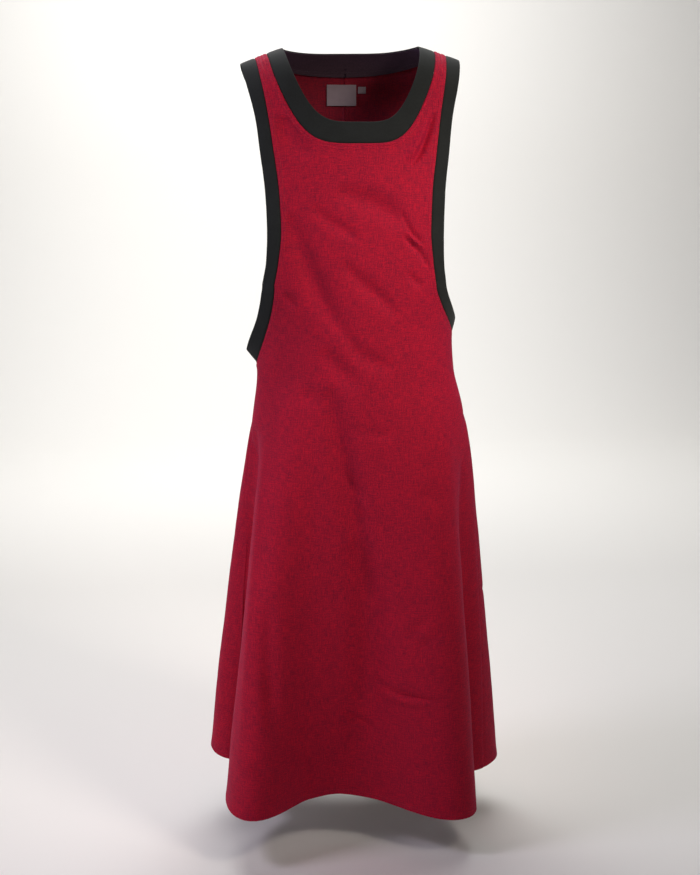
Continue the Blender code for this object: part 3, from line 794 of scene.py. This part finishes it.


# Small dents and fold lines of the bands, as for the panels.
BAND_CREASES = (
    Crease("fold line by the left under-arm", 0.0024, -0.0014,
           ((44.0, -0.359), (47.0, -0.364), (50.0, -0.370), (53.5, -0.375))),
    Crease("fold line under it", 0.0024, -0.0013,
           ((44.0, -0.371), (47.5, -0.374), (51.0, -0.378), (54.5, -0.381))),
    Crease("joint in the left band", 0.0011, -0.0009,
           ((46.0, -0.401), (49.0, -0.399), (52.0, -0.397), (56.0, -0.395))),
    Crease("bend in the right band", 0.0060, -0.0016,
           ((-54.0, -0.388), (-57.0, -0.401), (-60.0, -0.414))),
    Crease("dent in the left band", 0.0060, -0.0010,
           ((45.0, -0.140), (49.0, -0.149), (53.0, -0.156))),
    Crease("dent in the right band", 0.0060, -0.0010,
           ((-44.0, -0.190), (-48.0, -0.200), (-52.0, -0.205))),
    Crease("fold line in the right band", 0.0030, -0.0008,
           ((-42.0, -0.330), (-46.0, -0.338), (-51.0, -0.342))),
    Crease("dent in the front neck band", 0.0070, -0.0008,
           ((-14.0, -0.138), (-12.0, -0.150), (-11.0, -0.160))),
    Crease("dent in the front neck band, left", 0.0060, -0.0008,
           ((22.0, -0.118), (25.0, -0.132), (27.0, -0.146))),
    Crease("dent in the back right band", 0.0060, -0.0009,
           ((-137.0, -0.200), (-133.0, -0.212), (-130.0, -0.218))),
    Crease("dent in the back left band", 0.0060, -0.0009,
           ((140.0, -0.260), (136.0, -0.270), (132.0, -0.276))),
)


# Black cotton twill, piece dyed: matt, a shade greenish, its ribs hardly to be seen.
TWILL_PITCH = 0.0016           # drawn at twice the real 0.8 mm
TWILL_SLOPE = math.radians(63)
WAVE_PITCH = 1 / 3.2           # about the pitch of a wave texture's bands at a scale of 1
LINT = 260.0                   # in a metre: fibres standing up, drawn 4 mm across
TWILL_PATCHES = 30.0           # in a metre: rubbed places, 33 mm across
twill, tree, shader = new_material("black cotton twill")
cloth_uv = add(tree, "UVMap", {}, uv_map="cloth").outputs["UV"]
turned = add(tree, "Mapping", {"Vector": cloth_uv, "Rotation": (0.0, 0.0, TWILL_SLOPE)}).outputs[0]
ribs = add(tree, "TexWave", {"Vector": turned, "Scale": WAVE_PITCH / TWILL_PITCH, "Distortion": 1.5,
                             "Detail": 1.0, "Detail Scale": 2.0}).outputs["Fac"]
lint = add(tree, "TexNoise", {"Vector": cloth_uv, "Scale": LINT, "Detail": 3.0}).outputs["Fac"]
patches = add(tree, "TexNoise", {"Vector": cloth_uv, "Scale": TWILL_PATCHES, "Detail": 2.0}).outputs["Fac"]
mixed = add(tree, "Mix", {"Factor": 0.45, 2: lint, 3: patches}, data_type="FLOAT").outputs[0]
mixed = add(tree, "Mix", {"Factor": 0.25, 2: mixed, 3: ribs}, data_type="FLOAT").outputs[0]
colour = add(tree, "ValToRGB", {"Fac": mixed}, ((0.25, "#141716"), (0.75, "#202423")))
grain = add(tree, "Mix", {"Factor": 0.5, 2: lint, 3: ribs}, data_type="FLOAT").outputs[0]
raised = add(tree, "Bump", {"Height": grain, "Strength": 0.30, "Distance": 0.0004}).outputs[0]
fill(tree, shader, {"Base Color": colour.outputs["Color"], "Normal": raised, "Roughness": 0.85,
                    "Specular IOR Level": 0.25, "Sheen Weight": 0.06, "Sheen Roughness": 0.5})

NECK_BAND_WIDTH = NECK_SEAM_X - NECK_POINT_X
for name, is_front, flat, area in (("front", True, (0.27, 0.17), 0.0186),
                                   ("back", False, (0.28, 0.08), 0.0126)):
    parts = []
    for side in SIDES:
        places, across = band_places(neck_edge, side, is_front, NECK_BAND_WIDTH)
        parts.append(lay_band(f"neck_band_cloth_{name}_{side}", places, across, NECK_BAND_WIDTH,
                              0.0, (True, False)))
    band = join(parts, "neck_band_cloth_" + name)
    finish_cloth(band, twill, "black_cotton", "neck_band_" + name)

# ====================================================================== armhole bands
# The same twill round each armhole, 25 mm wide, in a front and a back strip that meet in seams on
# the shoulder and under the arm. Under the arm the strips stand off the body, most on the right.
ARMHOLE_KICK = {"right": 0.017, "left": 0.004}     # how far its free edge stands off there
KICK_SPAN = 0.42               # share of the strip's length over which it stands off
for side in SIDES:
    for name, is_front in (("front", True), ("back", False)):
        places, across = band_places(armhole_edge, side, is_front, ARMHOLE_BAND_WIDTH)
        lifted = ARMHOLE_KICK[side] * smooth(BAND_ALONG, 1 - KICK_SPAN, 1)
        kick = lifted[:, None] * (across / ARMHOLE_BAND_WIDTH)[None, :]
        band = lay_band(f"armhole_band_cloth_{name}_{side}", places, across, ARMHOLE_BAND_WIDTH,
                        kick, (True, True))
        finish_cloth(band, twill, "black_cotton", f"armhole_band_{name}_{side}")

# ====================================================================== back neck facing
# Thin black cotton with a violet cast, 45 mm wide inside the back neck. It is sewn in along the
# neck with the band, its lower edge is turned under, and a line of stitches holds it to the back.
FACING_WIDTH = 0.045
FACING_WALL = 0.0011
FACING_UNDER = 0.0033          # it lies this far under the outer face of the band
FACING_COLUMNS = 26
FACING_TURN = 0.0003           # its turned edge is this much further in, between these
FACING_TURN_END = (0.006, 0.001)
FACING_STITCH = 0.0085         # from its lower edge
FACING_PUFF = 0.0003           # it stands up this much under the stitches
FACING_PUFF_WIDTH = 0.0011
FACING_LINT = 240.0            # in a metre: fibres standing up, drawn 4 mm across


def facing_places(side):
    free, seam = (neck_edge(side, part, BAND_ALONG, False) for part in ("free", "seam"))
    whole = FACING_WIDTH / np.linalg.norm(form_points(*seam.T) - form_points(*free.T), axis=1)
    share = np.linspace(0, 1, FACING_COLUMNS + 1)[None, :, None] * whole[:, None, None]
    return on_side(free[:, None] + (seam - free)[:, None] * share, side, False)


def facing_relief(points):
    lower = FACING_WIDTH * (1 - np.linspace(0, 1, FACING_COLUMNS + 1))[None, :]
    relief = uneven(points) - FACING_UNDER - FACING_TURN * smooth(lower, *FACING_TURN_END)
    return relief + FACING_PUFF * bump(lower - FACING_STITCH, FACING_PUFF_WIDTH)


def whole_wall(points):
    return np.ones(len(points))


dull, tree, shader = new_material("violet black cotton")
cloth_uv = add(tree, "UVMap", {}, uv_map="cloth").outputs["UV"]
lint = add(tree, "TexNoise", {"Vector": cloth_uv, "Scale": FACING_LINT, "Detail": 3.0}).outputs["Fac"]
check = add(tree, "TexChecker", {"Vector": cloth_uv, "Scale": 1 / THREAD_PITCH}).outputs["Fac"]
grain = add(tree, "Mix", {"Factor": 0.4, 2: lint, 3: check}, data_type="FLOAT").outputs[0]
colour = add(tree, "ValToRGB", {"Fac": grain}, ((0.2, "#24171F"), (0.8, "#3A2530")))
raised = add(tree, "Bump", {"Height": grain, "Strength": 0.3, "Distance": 0.0003}).outputs[0]
fill(tree, shader, {"Base Color": colour.outputs["Color"], "Normal": raised, "Roughness": 0.8,
                    "Specular IOR Level": 0.25, "Sheen Weight": 0.15, "Sheen Roughness": 0.45,
                    "Sheen Tint": linear("#B48CC8")})

parts = []
for side in SIDES:
    part = lay_cloth("facing_" + side, facing_places(side), facing_relief)
    thicken(part, FACING_WALL, whole_wall)
    parts.append(part)
facing = join(parts, "back_neck_facing_cloth")
finish_cloth(facing, dull, "black_cotton", "back_neck_facing")

# ====================================================================== label and size tag
# Satin-woven polyester tape, pale grey and left blank, caught in under the facing, and drawn darker
# in painted shade. The label hangs free at its lower edge and curls a little; the size tag is a
# folded loop.
TAB_WALL = 0.0006
TAB_UNDER = 0.0032             # under the outer face of the back
TAB_LEVEL = -0.1               # about their level on the back
TAB_ROWS = 24
TAB_COLUMNS = 30
TAB_EDGE = 0.00015             # its cut sides are thicker by this,
TAB_EDGE_WIDTH = 0.03          # over this share of its width
TAB_TWIST = 0.5                # it curls more or less by this share along its lower edge,
TAB_TWIST_RUN = 2.2            # in a wave of this many radians over its width,
TAB_TWIST_START = 0.8          # with this much at its middle
WEFT_WAVES = 420.0             # scale of its weft, drawn at twice the real 0.37 mm
CLOUDS = 90.0                  # in a metre: cloudy places, 11 mm across
FACING_LOW = form_points(math.pi, -NECK[False].free - FACING_WIDTH)[2]
Tab = namedtuple("Tab", "piece node x drop width height curl")
TABS = (
    Tab("label_cloth", "label", -0.006, 0.0005, 0.053, 0.037, 0.0016),
    Tab("size_tag_cloth", "size_tag", 0.031, 0.0040, 0.014, 0.012, 0.0007),
)


def height_at(angle, z):
    """Heights on the form, at these angles, of the points that lie at z."""
    low, high = np.full_like(z, HEM_HEIGHT), np.zeros_like(z)
    for _ in range(32):
        middle = (low + high) / 2
        under = form_points(angle, middle)[..., 2] < z
        low, high = np.where(under, middle, low), np.where(under, high, middle)
    return low


satin, tree, shader = new_material("pale satin-woven tape in painted shade")
cloth_uv = add(tree, "UVMap", {}, uv_map="cloth").outputs["UV"]
weft = add(tree, "TexWave", {"Vector": cloth_uv, "Scale": WEFT_WAVES, "Distortion": 0.6},
           bands_direction="Y").outputs["Fac"]
cloud = add(tree, "TexNoise", {"Vector": cloth_uv, "Scale": CLOUDS, "Detail": 2.0}).outputs["Fac"]
grain = add(tree, "Mix", {"Factor": 0.5, 2: weft, 3: cloud}, data_type="FLOAT").outputs[0]
# Painted shade: the pale tape is drawn a dull mauve grey, for the shadow inside the back neck.
colour = add(tree, "ValToRGB", {"Fac": grain}, ((0.0, "#6A5C62"), (1.0, "#7E7076")))
raised = add(tree, "Bump", {"Height": weft, "Strength": 0.25, "Distance": 0.0002}).outputs[0]
fill(tree, shader, {"Base Color": colour.outputs["Color"], "Normal": raised, "Roughness": 0.45,
                    "Sheen Weight": 0.15})

for tab in TABS:
    down = np.linspace(0, 1, TAB_ROWS + 1)[:, None] * np.ones((1, TAB_COLUMNS + 1))
    over = np.ones((TAB_ROWS + 1, 1)) * np.linspace(-0.5, 0.5, TAB_COLUMNS + 1)[None, :]
    x = tab.x + tab.width * over
    level = height_at(angle_at(x, np.full_like(x, TAB_LEVEL)), FACING_LOW - tab.drop - tab.height * down)
    places = to_back(np.stack((angle_at(x, level), level), axis=-1), np.copysign(1.0, x))

    def tab_relief(points):
        edges = TAB_EDGE * bump(np.abs(over) - 0.5, TAB_EDGE_WIDTH)
        lifted = tab.curl * down ** 2 * (1 + TAB_TWIST * np.sin(TAB_TWIST_RUN * over + TAB_TWIST_START))
        return edges - TAB_UNDER - lifted

    piece = lay_cloth(tab.piece, places, tab_relief)
    thicken(piece, TAB_WALL, whole_wall)
    finish_cloth(piece, satin, "pale_woven_tape", tab.node)

# ====================================================================== topstitching
# Crimson sewing thread, a lockstitch 3 mm long: one line round the neck, two round each armhole
# and one up from the hem, and a line in black that holds the facing. Each stitch dips in at its
# ends.
STITCH_LENGTH = 0.0026
STITCH_PITCH = 0.0031
THREAD = 0.00050
THREAD_FLAT = 0.8              # pulled tight, it is this share as thick as wide
THREAD_SUNK = 0.00008          # the middle of the thread lies this far under the cloth's face


def stitch_shape():
    deselect()
    bpy.ops.mesh.primitive_uv_sphere_add(segments=6, ring_count=4, radius=0.5,
                                         rotation=(0.0, math.radians(90), 0.0))
    shape = bpy.context.object
    bpy.ops.object.transform_apply(rotation=True)
    points = np.array([vertex.co[:] for vertex in shape.data.vertices])
    faces = [list(face.vertices) for face in shape.data.polygons]
    bpy.data.objects.remove(shape)
    return points * np.array((STITCH_LENGTH, THREAD, THREAD * THREAD_FLAT)), faces


def offset_line(seam, free, normals, distance):
    """A line at a distance from a seam, on the side away from the free edge."""
    along = np.gradient(seam, axis=0)
    along /= np.linalg.norm(along, axis=1, keepdims=True)
    beside = np.cross(along, normals)
    beside *= np.sign((beside * (seam - free)).sum(axis=1, keepdims=True))
    return seam + beside * distance


def sewn(lines, cloth):
    """Stitches along lines laid on the face of a piece: places, directions and normals."""
    surface = BVHTree.FromObject(cloth, bpy.context.evaluated_depsgraph_get())
    found = []
    for line in lines:
        run = np.concatenate(((0.0,), np.cumsum(np.linalg.norm(np.diff(line, axis=0), axis=1))))
        for place in np.arange(STITCH_PITCH / 2, run[-1], STITCH_PITCH):
            ends = [Vector([np.interp(place + half, run, line[:, k]) for k in range(3)])
                    for half in (-STITCH_LENGTH / 2, STITCH_LENGTH / 2)]
            hits = [surface.find_nearest(end)[0] for end in ends]
            middle, normal, *_ = surface.find_nearest((ends[0] + ends[1]) / 2)
            found.append(((hits[0] + hits[1]) / 4 + middle / 2, hits[1] - hits[0], normal))
    return found


def sew(name, stitches, material):
    shape, faces = stitch_shape()
    points, polygons = [], []
    for i, (middle, along, normal) in enumerate(stitches):
        along = along.normalized()
        side = normal.cross(along).normalized()
        turn = np.array((along, side, along.cross(side)))
        points.append(shape @ turn + np.array(middle - normal * THREAD_SUNK))
        polygons += [[k + i * len(shape) for k in face] for face in faces]
    mesh = bpy.data.meshes.new(name)
    mesh.from_pydata(np.concatenate(points).tolist(), [], polygons)
    piece = bpy.data.objects.new(name, mesh)
    bpy.context.scene.collection.objects.link(piece)
    mesh.materials.append(material)
    mesh.shade_smooth()
    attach(piece, "root")


THREAD_TWIST = 900.0           # in a metre: shades of its twist, drawn 1.1 mm long


def thread_material(name, dark, light):
    """Spun sewing thread: a little smoother than the cloth, with a twist that shades it."""
    material, tree, shader = new_material(name)
    place = add(tree, "TexCoord", {}).outputs["Object"]
    fibres = add(tree, "TexNoise", {"Vector": place, "Scale": THREAD_TWIST, "Detail": 1.0}).outputs["Fac"]
    colour = add(tree, "ValToRGB", {"Fac": fibres}, ((0.0, dark), (1.0, light))).outputs["Color"]
    fill(tree, shader, {"Base Color": colour, "Roughness": 0.55, "Sheen Weight": 0.1})
    return material


red_thread = thread_material("crimson sewing thread", "#7A0F2B", "#B01C3C")
black_thread = thread_material("black sewing thread", "#1A1519", "#3B2F38")


def line_by_seam(edge, side, front, distance):
    seam, free = (on_side(edge(side, part, ALONG, front), side, front).T for part in ("seam", "free"))
    return offset_line(form_points(*seam), form_points(*free), form_normals(*seam), distance)


BELOW_HEM = 0.01               # any place below the hem, to tell which side is free


def hem_line(low, high):
    angle = np.radians(np.linspace(low, high, HEM_POINTS // 2))
    hem = hem_height(angle)
    return offset_line(form_points(angle, hem), form_points(angle, hem - BELOW_HEM),
                       form_normals(angle, hem), HEM_STITCH)


neck_stitches, armhole_stitches, hem_stitches, facing_stitches = [], [], [], []
for is_front, cloth, sides in ((True, front, tuple(SIDES)), (False, backs["right"], ("right",)),
                               (False, backs["left"], ("left",))):
    for edge, distances, stitches in ((neck_edge, NECK_STITCH, neck_stitches),
                                      (armhole_edge, ARMHOLE_STITCH, armhole_stitches)):
        stitches += sewn([line_by_seam(edge, side, is_front, distance)
                          for side in sides for distance in distances], cloth)
for low, high, cloth in ((-90, 90, front), (90, 180, backs["left"]), (-180, -90, backs["right"])):
    hem_stitches += sewn([hem_line(low, high)], cloth)
for side in SIDES:             # from inside the facing, so that its inner face is the nearest
    places = facing_places(side)[:, round((1 - FACING_STITCH / FACING_WIDTH) * FACING_COLUMNS)].T
    line = form_points(*places) - form_normals(*places) * (FACING_UNDER + 3 * FACING_WALL)
    facing_stitches += sewn([line], facing)
for name, stitches in (("neck", neck_stitches), ("armhole", armhole_stitches), ("hem", hem_stitches)):
    sew(name + "_topstitching", stitches, red_thread)
sew("facing_topstitching", facing_stitches, black_thread)

# ====================================================================== studio
# A plain pale floor that sweeps up behind, and soft light from panels: three on the surcoat and
# two on the paper.
FLOOR = -1.43                  # the wearer's feet, under the shoulder line
PAPER_WIDTH = 14.0
PAPER_BACK = 4.6               # the paper rises here,
PAPER_RISE = 5.0               # this high,
PAPER_SWEEP = 1.2              # in a bend of this size
deselect()
bpy.ops.mesh.primitive_plane_add(size=PAPER_WIDTH, location=(0.0, PAPER_BACK - PAPER_WIDTH / 2, FLOOR))
floor = bpy.context.object
floor.name = "studio_floor"
bpy.ops.object.mode_set(mode="EDIT")
bpy.ops.mesh.select_all(action="DESELECT")
bpy.ops.object.mode_set(mode="OBJECT")
for edge in floor.data.edges:
    edge.select = all(floor.data.vertices[k].co.y > 0 for k in edge.vertices)
bpy.ops.object.mode_set(mode="EDIT")
bpy.ops.mesh.extrude_region_move(TRANSFORM_OT_translate={"value": (0.0, 0.0, PAPER_RISE)})
bpy.ops.object.mode_set(mode="OBJECT")
corner = floor.modifiers.new("sweep", "BEVEL")
corner.width, corner.segments = PAPER_SWEEP, 16
bpy.ops.object.modifier_apply(modifier=corner.name)
floor.data.shade_smooth()
paper, tree, shader = new_material("pale studio paper")
fill(tree, shader, {"Base Color": linear("#F2F0EC"), "Roughness": 0.95})
floor.data.materials.append(paper)


def light(name, place, aim, size, power, tint, spread=180):
    data = bpy.data.lights.new(name, "AREA")
    data.size, data.energy = size, power
    data.color = linear(tint)[:3]
    data.spread = math.radians(spread)
    lamp = bpy.data.objects.new(name, data)
    lamp.location = place
    lamp.rotation_euler = (Vector(aim) - Vector(place)).to_track_quat("-Z", "Y").to_euler()
    bpy.context.scene.collection.objects.link(lamp)
    lamp.visible_camera = False


light("right", (0.75, -0.95, 0.35), (0.03, 0.0, -0.50), 0.4, 2.15, "#FFF2E8", 60)
light("left", (-1.20, -0.35, 0.20), (0.0, 0.0, -0.50), 0.4, 8.6, "#F0E8FF")
light("skirt", (-1.00, -0.70, -1.00), (0.0, 0.0, -1.00), 0.4, 0.65, "#F4EEFF", 80)
light("paper floor", (0.0, 1.5, 1.7), (0.0, 1.5, -1.4), 2.5, 84, "#FFFFFF")
light("paper wall", (0.0, 2.6, 1.2), (0.0, 6.0, -0.2), 2.0, 52, "#FFFFFF")
world = bpy.data.worlds.new("studio")
bpy.context.scene.world = world
world.use_nodes = True
fill(world.node_tree, world.node_tree.nodes["Background"],
     {"Color": linear("#F2F1EE"), "Strength": 0.07})
bpy.context.scene.view_settings.view_transform = "Standard"

# The camera stands a little to the wearer's right, 2.55 m off, above the waist and tipped down.
CAMERA_TURN = math.radians(-6.0)
CAMERA_AWAY = 2.55
CAMERA_HEIGHT = -0.17
CAMERA_DIP = math.radians(11.46)
CAMERA_LENS = 58.83            # in millimetres, on a sensor 36 mm wide
camera = bpy.data.objects.new("camera", bpy.data.cameras.new("camera"))
camera.data.sensor_width = 36.0
camera.data.lens = CAMERA_LENS
camera.location = (CAMERA_AWAY * math.sin(CAMERA_TURN), -CAMERA_AWAY * math.cos(CAMERA_TURN),
                   CAMERA_HEIGHT)
camera.rotation_euler = (math.radians(90) - CAMERA_DIP, 0.0, CAMERA_TURN)
bpy.context.scene.collection.objects.link(camera)
bpy.context.scene.camera = camera
